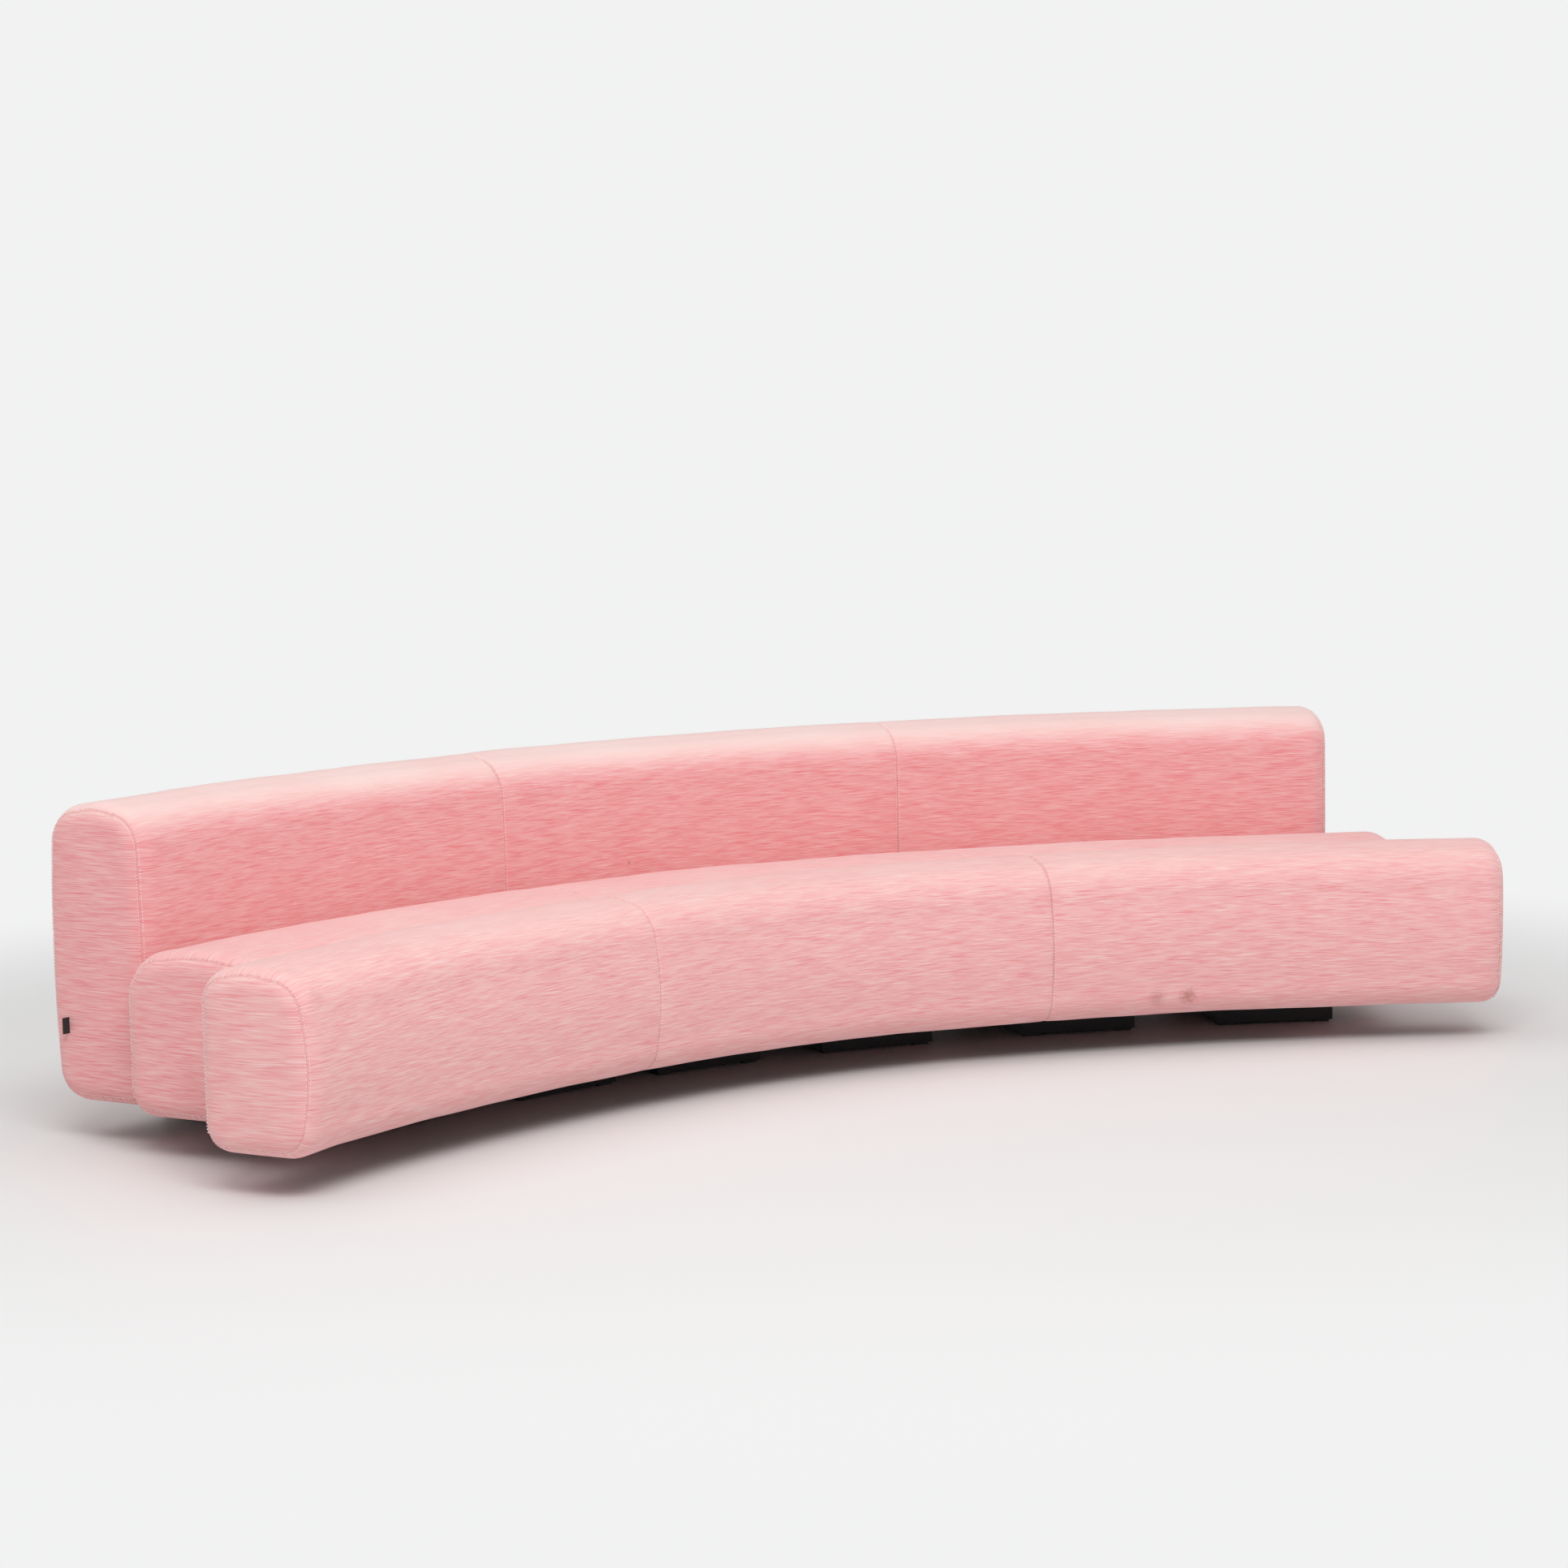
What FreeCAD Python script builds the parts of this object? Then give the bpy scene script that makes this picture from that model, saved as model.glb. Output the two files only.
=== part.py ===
import FreeCAD, Part
import Sketcher
import math
import os

# Curved sofa of three upholstered rows: a front bolster, a middle seat and a tall backrest.
# Every row follows the same three-arc curve, with its hollow side towards -Y.
# Lengths are in millimetres, angles in degrees. The floor is Z = 0.

SIZES = {
    # The curve of the front face: a tight arc in the middle and two wider arcs beside it
    "centre_radius": 1575,
    "side_radius": 3000,
    "change_angle": 9.4,
    # Depth and height of the rows
    "front_depth": 230,
    "middle_depth": 323,
    "back_depth": 230,
    "underside": 74,
    "front_height": 400,
    "middle_height": 380,
    "back_height": 629,
    # Where the rows end and where their cross seams lie, as angles from the middle
    "front_left_end": 31.66,
    "front_left_seam": 13.0,
    "front_right_seam": 13.5,
    "front_right_end": 31.66,
    "middle_left_end": 28.1,
    "middle_left_seam": 11.4,
    "middle_right_seam": 12.3,
    "middle_right_end": 28.6,
    "back_left_end": 26.98,
    "back_left_seam": 11.4,
    "back_right_seam": 11.4,
    "back_right_end": 26.98,
    # Rounding of the upholstery
    "front_top_corner": 80,
    "front_rear_corner": 62,
    "middle_front_corner": 70,
    "middle_rear_corner": 90,
    "back_corner": 75,
    "foot_corner": 62,
    "end_round": 42,
    "seam_dip": 3,
    "seam_width": 12,
    # Crown of the faces that nothing presses on, as the radius of each bulge
    "front_face_crown": 1100,
    "front_top_crown": 450,
    "middle_top_crown": 800,
    "back_face_crown": 3200,
    "back_top_crown": 450,
    # Foam round the frame
    "foam_side": 74,
    "foam_top": 70,
    "foam_end": 75,
    # Frame in plywood
    "base_thick": 18,
    "rail_thick": 12,
    "top_thick": 12,
    "rib_thick": 15,
    "rib_play": 0.3,
    # Elastic bands of the seat
    "band_width": 60,
    "band_thick": 3,
    "cloth_thick": 1,
    "cloth_lap": 3,
    # Plinths under the rows
    "plinth_front": 290,
    "plinth_rear": 750,
    "plinth_width": 250,
    "plinth_wall": 18,
    "plinth_deck": 15,
    "plinth_1_angle": -21.1,
    "plinth_2_angle": -12.6,
    "plinth_3_angle": -4.0,
    "plinth_4_angle": 8.1,
    "plinth_5_angle": 16.5,
    "plinth_6_angle": 24.0,
    "glide_width": 33,
    "glide_thick": 5,
    "glide_inset": 6,
    # Fabric tag in the rear seam of the left end
    "tag_width": 30,
    "tag_reach": 18,
    "tag_thick": 1.2,
    "tag_height": 205,
    "tag_inset": 48,
}

ROWS = ("front", "middle", "back")
PLINTHS = range(1, 7)

# The upholstery bends in flat stretches of about this angle, so that rows lie snug on each other
STRETCH = 3.2
# Counts of ribs in a row and of elastic bands under the seat
RIBS = 8
BANDS = 12
# Roundness of the end panels: turns of the rounding, in degrees, at which it is drawn
END_TURNS = (90, 60, 30)

doc = FreeCAD.newDocument("CurvedSofa")
sheet = doc.addObject("Spreadsheet::Sheet", "Sizes")
for line, (name, value) in enumerate(SIZES.items(), start=1):
    sheet.set("A%d" % line, name)
    sheet.set("B%d" % line, str(value))
    sheet.setAlias("B%d" % line, name)
doc.recompute()


class Size:
    """A length or angle: its present value and the expression that gives it."""

    def __init__(self, value, text):
        self.value = value
        self.text = text

    def combine(self, other, sign, value):
        return Size(value, "(%s %s %s)" % (self.text, sign, as_size(other).text))

    def __add__(self, other):
        return self.combine(other, "+", self.value + as_size(other).value)

    def __sub__(self, other):
        return self.combine(other, "-", self.value - as_size(other).value)

    def __mul__(self, other):
        return self.combine(other, "*", self.value * as_size(other).value)

    def __truediv__(self, other):
        return self.combine(other, "/", self.value / as_size(other).value)


def as_size(thing):
    return thing if isinstance(thing, Size) else Size(thing, repr(thing))


def size(name):
    return Size(float(sheet.get(name)), "Sizes." + name)


def sine(angle):
    return Size(math.sin(math.radians(angle.value)), "sin(%s * 1 deg)" % angle.text)


def cosine(angle):
    return Size(math.cos(math.radians(angle.value)), "cos(%s * 1 deg)" % angle.text)


def bind(thing, path, length):
    thing.setExpression(path, length.text)


ZERO = Size(0.0, "0")
CENTRE_RADIUS = size("centre_radius")
SIDE_RADIUS = size("side_radius")
CHANGE = size("change_angle")
ARC_SHIFT = SIDE_RADIUS - CENTRE_RADIUS
UNDERSIDE = size("underside")
END_ROUND = size("end_round")

START = {"front": ZERO}
START["middle"] = START["front"] + size("front_depth")
START["back"] = START["middle"] + size("middle_depth")
DEPTH = {row: size(row + "_depth") for row in ROWS}
HEIGHT = {row: size(row + "_height") for row in ROWS}
FULL_DEPTH = START["back"] + DEPTH["back"]

# The centre of the middle arc lies so far back that the sofa's own middle is at Y = 0:
# half-way between the rear of the back row and the foremost tip of the front row.
tip_angle = size("front_left_end") - END_ROUND / (SIDE_RADIUS + END_ROUND) * (180 / math.pi)
FRONT_TIP = (SIDE_RADIUS + END_ROUND) * cosine(tip_angle) - END_ROUND - ARC_SHIFT * cosine(CHANGE)
ARC_CENTRE_Y = (CENTRE_RADIUS + FULL_DEPTH + FRONT_TIP) * -0.5


def zone_of(angle):
    """-1, 0 or 1 for the left, middle and right arc."""
    if abs(angle) <= CHANGE.value:
        return 0
    return 1 if angle > 0 else -1


def base_radius(zone):
    return SIDE_RADIUS if zone else CENTRE_RADIUS


def arc_centre(zone):
    """X and Y of the arc's centre, measured from the centre of the middle arc."""
    if zone == 0:
        return ZERO, ZERO
    return ARC_SHIFT * sine(CHANGE) * -float(zone), ARC_SHIFT * cosine(CHANGE) * -1.0


def point_at(angle, inset, aside=ZERO):
    """X and Y of a point that lies inset behind the front face, and aside along the curve."""
    zone = zone_of(angle.value)
    centre_x, centre_y = arc_centre(zone)
    reach = base_radius(zone) + inset
    x = centre_x + reach * sine(angle) + aside * cosine(angle)
    y = ARC_CENTRE_Y + centre_y + reach * cosine(angle) - aside * sine(angle)
    return x, y


def origin_plane(body, role):
    return [item for item in body.Origin.OriginFeatures if item.Role == role][0]


def new_body(label):
    body = doc.addObject("PartDesign::Body", label)
    body.Label = label
    return body


def flat_sketch(body, name, height):
    """A sketch seen from above, at the given height."""
    sketch = body.newObject("Sketcher::SketchObject", name)
    sketch.AttachmentSupport = [(origin_plane(body, "XY_Plane"), "")]
    sketch.MapMode = "FlatFace"
    bind(sketch, "AttachmentOffset.Base.z", height)
    return sketch


def radial_sketch(body, name, angle, zone):
    """A sketch in the upright plane through an arc's centre: its X is the distance from that centre."""
    sketch = body.newObject("Sketcher::SketchObject", name)
    sketch.AttachmentSupport = [(origin_plane(body, "XZ_Plane"), "")]
    sketch.MapMode = "FlatFace"
    turn = FreeCAD.Rotation(FreeCAD.Vector(0, 1, 0), 90 - angle.value)
    sketch.AttachmentOffset = FreeCAD.Placement(FreeCAD.Vector(0, 0, 0), turn)
    centre_x, centre_y = arc_centre(zone)
    bind(sketch, "AttachmentOffset.Rotation.Angle", as_size(90) - angle)
    bind(sketch, "AttachmentOffset.Base.x", centre_x)
    bind(sketch, "AttachmentOffset.Base.z", centre_y * -1.0)
    return sketch


def constrain(sketch, kind, places, length):
    index = sketch.addConstraint(Sketcher.Constraint(kind, *places, length.value))
    bind(sketch, "Constraints[%d]" % index, length)


def draw_box(sketch, left, right, bottom, top):
    """A rectangle whose four sides are set from the sketch's origin."""
    corners = [(left, bottom), (right, bottom), (right, top), (left, top)]
    points = [FreeCAD.Vector(x.value, y.value, 0) for x, y in corners]
    lines = [sketch.addGeometry(Part.LineSegment(points[i], points[(i + 1) % 4]), False) for i in range(4)]
    for i in range(4):
        sketch.addConstraint(Sketcher.Constraint("Coincident", lines[i], 2, lines[(i + 1) % 4], 1))
    for i in range(4):
        sketch.addConstraint(Sketcher.Constraint("Vertical" if i % 2 else "Horizontal", lines[i]))
    constrain(sketch, "DistanceX", (-1, 1, lines[0], 1), left)
    constrain(sketch, "DistanceX", (-1, 1, lines[0], 2), right)
    constrain(sketch, "DistanceY", (-1, 1, lines[0], 1), bottom)
    constrain(sketch, "DistanceY", (-1, 1, lines[2], 1), top)


class Side:
    """One side of a row's outline: flat where a neighbour presses on it, else a bulge."""

    def __init__(self, direction, offset, middle=None, bulge=None):
        self.direction = direction
        self.offset = offset
        self.middle = middle
        self.bulge = bulge

    def centre(self):
        """Centre of the bulge. The bulge's outermost point lies at the side's offset."""
        dx, dy = self.direction
        inner = self.offset + self.bulge * float(-(dx + dy))
        return (inner, self.middle) if dx else (self.middle, inner)

    def miss(self, x, y, corner):
        """How far a corner circle about (x, y) is from touching this side from within."""
        dx, dy = self.direction
        if self.bulge is None:
            return (self.offset.value - (x if dx else y)) * (dx + dy) - corner
        cx, cy = (part.value for part in self.centre())
        return self.bulge.value - corner - math.hypot(x - cx, y - cy)

    def contact(self, x, y, corner):
        dx, dy = self.direction
        if self.bulge is None:
            return (self.offset.value, y) if dx else (x, self.offset.value)
        cx, cy = (part.value for part in self.centre())
        scale = self.bulge.value / (self.bulge.value - corner)
        return cx + (x - cx) * scale, cy + (y - cy) * scale


def corner_centre(one, two, corner):
    """Where a corner circle touches both sides, found by Newton's method."""
    x = sum(side.offset.value - side.direction[0] * corner for side in (one, two) if side.direction[0])
    y = sum(side.offset.value - side.direction[1] * corner for side in (one, two) if side.direction[1])
    step = 1e-4
    for _ in range(30):
        a, b = one.miss(x, y, corner), two.miss(x, y, corner)
        ax = (one.miss(x + step, y, corner) - a) / step
        ay = (one.miss(x, y + step, corner) - a) / step
        bx = (two.miss(x + step, y, corner) - b) / step
        by = (two.miss(x, y + step, corner) - b) / step
        spread = ax * by - ay * bx
        x -= (a * by - b * ay) / spread
        y -= (b * ax - a * bx) / spread
    return x, y


def arc_between(centre, start, end):
    cx, cy = centre
    circle = Part.Circle(FreeCAD.Vector(cx, cy, 0), FreeCAD.Vector(0, 0, 1), math.hypot(start[0] - cx, start[1] - cy))
    first = math.atan2(start[1] - cy, start[0] - cx)
    last = math.atan2(end[1] - cy, end[0] - cx)
    if last < first:
        last += 2 * math.pi
    return Part.ArcOfCircle(circle, first, last)


def joint(one, two, corner):
    """Where one side stops and the next starts: apart on a round corner, together on a sharp one."""
    if corner is None:
        upright, level = (one, two) if one.direction[0] else (two, one)
        point = (upright.offset.value, level.offset.value)
        return None, point, point
    ball = corner_centre(one, two, corner.value)
    return ball, one.contact(*ball, corner.value), two.contact(*ball, corner.value)


def draw_cushion(sketch, sides, corners):
    """A closed outline of four sides, joined by tangent arcs or by sharp corners."""
    joints = [joint(sides[i], sides[(i + 1) % 4], corners[i]) for i in range(4)]
    pieces = []
    for i, side in enumerate(sides):
        start, end = joints[i - 1][2], joints[i][1]
        if side.bulge is None:
            line = Part.LineSegment(FreeCAD.Vector(*start, 0), FreeCAD.Vector(*end, 0))
            index = sketch.addGeometry(line, False)
            dx, dy = side.direction
            sketch.addConstraint(Sketcher.Constraint("Vertical" if dx else "Horizontal", index))
        else:
            centre = tuple(part.value for part in side.centre())
            index = sketch.addGeometry(arc_between(centre, start, end), False)
        pieces.append((index, side, corners[i - 1] is None))
        if corners[i] is not None:
            ball, _, after = joints[i]
            index = sketch.addGeometry(arc_between(ball, end, after), False)
            pieces.append((index, corners[i], False))
    for number, (index, _, _) in enumerate(pieces):
        following, _, sharp = pieces[(number + 1) % len(pieces)]
        kind = "Coincident" if sharp else "Tangent"
        sketch.addConstraint(Sketcher.Constraint(kind, index, 2, following, 1))
    for index, piece, _ in pieces:
        if isinstance(piece, Size):
            constrain(sketch, "Radius", (index,), piece)
        elif piece.bulge is None:
            way = "DistanceX" if piece.direction[0] else "DistanceY"
            constrain(sketch, way, (-1, 1, index, 1), piece.offset)
        else:
            x, y = piece.centre()
            constrain(sketch, "DistanceX", (-1, 1, index, 3), x)
            constrain(sketch, "DistanceY", (-1, 1, index, 3), y)
            constrain(sketch, "Radius", (index,), piece.bulge)


def row_outline(sketch, row, radius, inset):
    """One row's rounded outline, drawn in by inset. Its front face lies at radius + START[row]."""
    front = radius + START[row]
    rear = front + DEPTH[row]
    across = front + DEPTH[row] * 0.5
    up = (UNDERSIDE + HEIGHT[row]) * 0.5

    def side(direction, offset, middle=None, crown=None):
        offset = offset - inset * float(sum(direction))
        return Side(direction, offset, middle, size(crown) - inset if crown else None)

    def corner(name):
        return size(name) - inset

    bottom = side((0, -1), UNDERSIDE)
    foot = corner("foot_corner")
    if row == "front":
        rear_side = side((1, 0), rear)
        top = side((0, 1), HEIGHT[row], across, "front_top_crown")
        front_side = side((-1, 0), front, up, "front_face_crown")
        corners = [None, corner("front_rear_corner"), corner("front_top_corner"), foot]
    elif row == "middle":
        rear_side = side((1, 0), rear)
        top = side((0, 1), HEIGHT[row], across, "middle_top_crown")
        front_side = side((-1, 0), front)
        corners = [None, corner("middle_rear_corner"), corner("middle_front_corner"), None]
    else:
        rear_side = side((1, 0), rear, up, "back_face_crown")
        top = side((0, 1), HEIGHT[row], across, "back_top_crown")
        front_side = side((-1, 0), front)
        corners = [foot, corner("back_corner"), corner("back_corner"), None]
    draw_cushion(sketch, [bottom, rear_side, top, front_side], corners)


def spans(low, high):
    """The stretches of the three arcs between two angles."""
    marks = [low] + [m for m in (CHANGE * -1.0, CHANGE) if low.value < m.value < high.value] + [high]
    return [(a, b, zone_of((a.value + b.value) / 2)) for a, b in zip(marks, marks[1:])]


def turn_outline(body, kind, name, draw, low, high):
    """Turns an outline along the curve, arc by arc, to add material or to take it away."""
    for number, (start, end, zone) in enumerate(spans(low, high)):
        sketch = radial_sketch(body, "%s_outline_%d" % (name, number), start, zone)
        draw(sketch, base_radius(zone))
        sketch.Visibility = False
        turned = body.newObject("PartDesign::" + kind, "%s_%d" % (name, number))
        turned.Profile = sketch
        turned.ReferenceAxis = (sketch, ["V_Axis"])
        turned.Reversed = True
        bind(turned, "Angle", end - start)


def limits(row):
    """The four angles of a row: left end, left seam, right seam, right end."""
    left = [size("%s_left_%s" % (row, place)) * -1.0 for place in ("end", "seam")]
    right = [size("%s_right_%s" % (row, place)) for place in ("seam", "end")]
    return left + right


def angle_for(length, row):
    """The angle that a length along the side arcs takes at a row's front face."""
    return length / (SIDE_RADIUS + START[row]) * (180 / math.pi)


def hollow_limits(row):
    """The frame's own ends: the foam covers them by its end thickness."""
    cover = angle_for(size("foam_end"), row)
    marks = limits(row)
    return marks[0] + cover, marks[3] - cover


def frame_span(row):
    """How far behind the front face the frame starts and stops."""
    return START[row] + size("foam_side"), START[row] + DEPTH[row] - size("foam_side")


def frame_top(row):
    return HEIGHT[row] - size("foam_top")


def place_body(body):
    bind(body, "Placement.Base.y", ARC_CENTRE_Y)


def marks_of_rows():
    """The angles at which every row bends: arc changes, seams, ends and steps between them."""
    fixed = [CHANGE * -1.0, ZERO, CHANGE]
    for row in ROWS:
        cover = angle_for(END_ROUND, row)
        marks = limits(row)
        fixed += marks + [marks[0] + cover, marks[3] - cover]
    fixed.sort(key=lambda mark: mark.value)
    marks = [fixed[0]]
    for mark in fixed[1:]:
        gap = mark.value - marks[-1].value
        if gap < 0.01:
            continue
        start, steps = marks[-1], math.ceil(gap / STRETCH)
        marks += [start + (mark - start) * (step / steps) for step in range(1, steps)] + [mark]
    return marks


MARKS = marks_of_rows()


def end_sections(row, angle, inward):
    """Sections of a rounded end, from the flat of the end to the full outline."""
    sections = []
    for turn in END_TURNS:
        along = angle_for(END_ROUND, row) * (1 - math.sin(math.radians(turn)))
        inset = END_ROUND * (1 - math.cos(math.radians(turn)))
        sections.append((angle + along * inward, inset))
    return sections + [(angle + angle_for(END_ROUND, row) * inward, ZERO)]


def seam_sections(row, angle, inward):
    """Sections of a cross seam: the cover is drawn in at the stitches."""
    return [(angle, size("seam_dip")), (angle + angle_for(size("seam_width") * 0.5, row) * inward, ZERO)]


# Upholstered panels: foam under a sewn cover, three to a row, hollow inside for the frame
def cushion(row, side, low, high):
    body = new_body("%s_cushion_%s" % (row, side))
    place_body(body)
    start = end_sections(row, low, 1.0) if side == "left" else seam_sections(row, low, 1.0)
    finish = end_sections(row, high, -1.0) if side == "right" else seam_sections(row, high, -1.0)
    first, last = start[-1][0].value + 0.01, finish[-1][0].value - 0.01
    between = [(mark, ZERO) for mark in MARKS if first < mark.value < last]
    sketches = []
    for angle, inset in start + between + finish[::-1]:
        zone = zone_of(angle.value)
        sketch = radial_sketch(body, "%s_%s_section_%d" % (row, side, len(sketches)), angle, zone)
        row_outline(sketch, row, base_radius(zone), inset)
        sketch.Visibility = False
        sketches.append(sketch)
    loft = body.newObject("PartDesign::AdditiveLoft", "%s_%s_loft" % (row, side))
    loft.Profile = sketches[0]
    loft.Sections = sketches[1:]
    loft.Ruled = True
    inner, outer = frame_span(row)
    hollow_low, hollow_high = hollow_limits(row)

    def draw(sketch, radius):
        draw_box(sketch, radius + inner, radius + outer, UNDERSIDE - 5, frame_top(row))

    begin = hollow_low if side == "left" else low - angle_for(size("seam_width"), row)
    stop = hollow_high if side == "right" else high + angle_for(size("seam_width"), row)
    turn_outline(body, "Groove", "%s_%s_hollow" % (row, side), draw, begin, stop)
    return body


def curved_board(label, inner, outer, bottom, top, low, high):
    """A board or rail that follows the curve."""
    body = new_body(label)
    place_body(body)

    def draw(sketch, radius):
        draw_box(sketch, radius + inner, radius + outer, bottom, top)

    turn_outline(body, "Revolution", label, draw, low, high)
    return body


def turned_box(label, angle, inset, aside, bottom, length, width, height):
    """A flat-sided block that is square to the curve. Its inset and aside are those of its near left corner."""
    block = doc.addObject("Part::Box", label)
    bind(block, "Length", length)
    bind(block, "Width", width)
    bind(block, "Height", height)
    x, y = point_at(angle, inset, aside)
    block.Placement.Rotation = FreeCAD.Rotation(FreeCAD.Vector(0, 0, 1), -angle.value)
    bind(block, "Placement.Base.x", x)
    bind(block, "Placement.Base.y", y)
    bind(block, "Placement.Base.z", bottom)
    bind(block, "Placement.Rotation.Angle", angle * -1.0)
    return block


def group(label, pieces):
    whole = doc.addObject("Part::Compound", label)
    whole.Label = label
    whole.Links = pieces
    return whole


def spread(low, high, count):
    """Angles of evenly spaced pieces between two angles, both included."""
    return [low + (high - low) * (step / (count - 1)) for step in range(count)]


def cushions(row):
    left_end, left_seam, right_seam, right_end = limits(row)
    return [
        cushion(row, "left", left_end, left_seam),
        cushion(row, "centre", left_seam, right_seam),
        cushion(row, "right", right_seam, right_end),
    ]


# Frame of a row: base board, two rails, ribs between them, and a top board or elastic bands
def frame(row):
    inner, outer = frame_span(row)
    low, high = hollow_limits(row)
    rail = size("rail_thick")
    floor = UNDERSIDE + size("base_thick")
    cap = size("band_thick") if row == "middle" else size("top_thick")
    shelf = frame_top(row) - cap
    pieces = [
        curved_board(row + "_base_board", inner, outer, UNDERSIDE, floor, low, high),
        curved_board(row + "_front_rail", inner, inner + rail, floor, shelf, low, high),
        curved_board(row + "_rear_rail", outer - rail, outer, floor, shelf, low, high),
    ]
    thick, play = size("rib_thick"), size("rib_play")
    reach = outer - inner - rail * 2.0 - play * 2.0
    margin = angle_for(thick, row)
    ribs = []
    for number, angle in enumerate(spread(low + margin, high - margin, RIBS)):
        label = "%s_rib_%d" % (row, number)
        ribs.append(turned_box(label, angle, inner + rail + play, thick * -0.5, floor, thick, reach, shelf - floor))
    pieces.append(group(row + "_ribs", ribs))
    if row == "middle":
        width = size("band_width")
        margin = angle_for(width, row)
        bands = []
        for number, angle in enumerate(spread(low + margin, high - margin, BANDS)):
            label = "seat_band_%d" % number
            bands.append(turned_box(label, angle, inner, width * -0.5, shelf, width, outer - inner, cap))
        pieces.append(group("seat_bands", bands))
    else:
        pieces.append(curved_board(row + "_top_board", inner, outer, shelf, frame_top(row), low, high))
    return pieces


# Thin cloth that closes the underside of a row
def dust_cloth(row):
    inner, outer = frame_span(row)
    low, high = hollow_limits(row)
    lap = size("cloth_lap")
    turn = angle_for(lap, row)
    bottom = UNDERSIDE - size("cloth_thick")
    return curved_board(row + "_dust_cloth", inner - lap, outer + lap, bottom, UNDERSIDE, low - turn, high + turn)


# Plinths: open-bottomed boxes that join the seat to the backrest, each on four glides
def plinth(number):
    angle = size("plinth_%d_angle" % number)
    label = "plinth_box_%d" % number
    width, wall = size("plinth_width"), size("plinth_wall")
    near, far = size("plinth_front"), size("plinth_rear")
    bottom, top = size("glide_thick"), UNDERSIDE - size("cloth_thick")
    outside = turned_box(label + "_outside", angle, near, width * -0.5, bottom, width, far - near, top - bottom)
    room = top - bottom - size("plinth_deck")
    inside = turned_box(label + "_inside", angle, near + wall, width * -0.5 + wall, bottom,
                        width - wall * 2.0, far - near - wall * 2.0, room)
    box = doc.addObject("Part::Cut", label)
    box.Label = label
    box.Base = outside
    box.Tool = inside
    return box


def glides():
    width, edge = size("glide_width"), size("glide_inset")
    half = size("plinth_width") * 0.5
    pads = []
    for number in PLINTHS:
        angle = size("plinth_%d_angle" % number)
        for inset in (size("plinth_front") + edge, size("plinth_rear") - edge - width):
            for aside in (edge - half, half - edge - width):
                label = "glide_%d" % (len(pads) + 1)
                pads.append(turned_box(label, angle, inset, aside, ZERO, width, width, size("glide_thick")))
    return group("glides", pads)


def tag():
    """A small folded tag, sewn into the seam of the back row's left end."""
    left_end = limits("back")[0]
    inset = FULL_DEPTH - size("tag_inset")
    reach = size("tag_reach")
    piece = turned_box("fabric_tag", left_end, inset, reach * -1.0, size("tag_height"), reach,
                       size("tag_thick"), size("tag_width"))
    return piece


parts = []
for row in ROWS:
    parts += cushions(row)
    parts += frame(row)
    parts.append(dust_cloth(row))
parts += [plinth(number) for number in PLINTHS]
parts.append(glides())
parts.append(tag())
doc.recompute()

for item in doc.Objects:
    if "Invalid" in item.State or "Error" in item.State:
        raise RuntimeError(item.Label + " did not build")
    if item.TypeId == "PartDesign::Groove" and item.Shape.Volume >= item.BaseFeature.Shape.Volume:
        raise RuntimeError(item.Label + " cut nothing")
for part in parts:
    if part.Shape.isNull() or not part.Shape.isValid() or not part.Shape.Solids:
        raise RuntimeError(part.Label + " has no sound solid")

os.makedirs("parts", exist_ok=True)
for part in parts:
    part.Shape.exportStep("parts/%s.step" % part.Label)
print("nodes", len(parts))
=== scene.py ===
import math

import bmesh
import bpy
from mathutils import Matrix, Vector


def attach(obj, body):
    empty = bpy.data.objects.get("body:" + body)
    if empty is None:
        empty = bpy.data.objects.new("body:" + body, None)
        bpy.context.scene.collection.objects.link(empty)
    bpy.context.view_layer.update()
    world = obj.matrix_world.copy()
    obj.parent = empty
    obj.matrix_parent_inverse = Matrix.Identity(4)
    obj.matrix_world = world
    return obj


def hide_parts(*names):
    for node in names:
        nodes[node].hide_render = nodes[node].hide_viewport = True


# Looks of a curved sofa: three upholstered rows in a melange stretch weave, on low black plinths
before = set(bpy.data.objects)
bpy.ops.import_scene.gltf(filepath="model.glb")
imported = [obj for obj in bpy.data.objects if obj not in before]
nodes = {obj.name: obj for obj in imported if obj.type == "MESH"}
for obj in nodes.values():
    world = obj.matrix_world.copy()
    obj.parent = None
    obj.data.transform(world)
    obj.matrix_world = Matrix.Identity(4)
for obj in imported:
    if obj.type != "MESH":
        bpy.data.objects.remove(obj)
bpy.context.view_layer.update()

# The curve that the rows follow, in metres and in degrees from the middle: a tight arc between two wide ones
CENTRE_RADIUS = 1.575
SIDE_RADIUS = 3.0
CHANGE_ANGLE = 9.4
ARC_SHIFT = SIDE_RADIUS - CENTRE_RADIUS
ARC_CENTRE_Y = -1.7606

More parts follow.
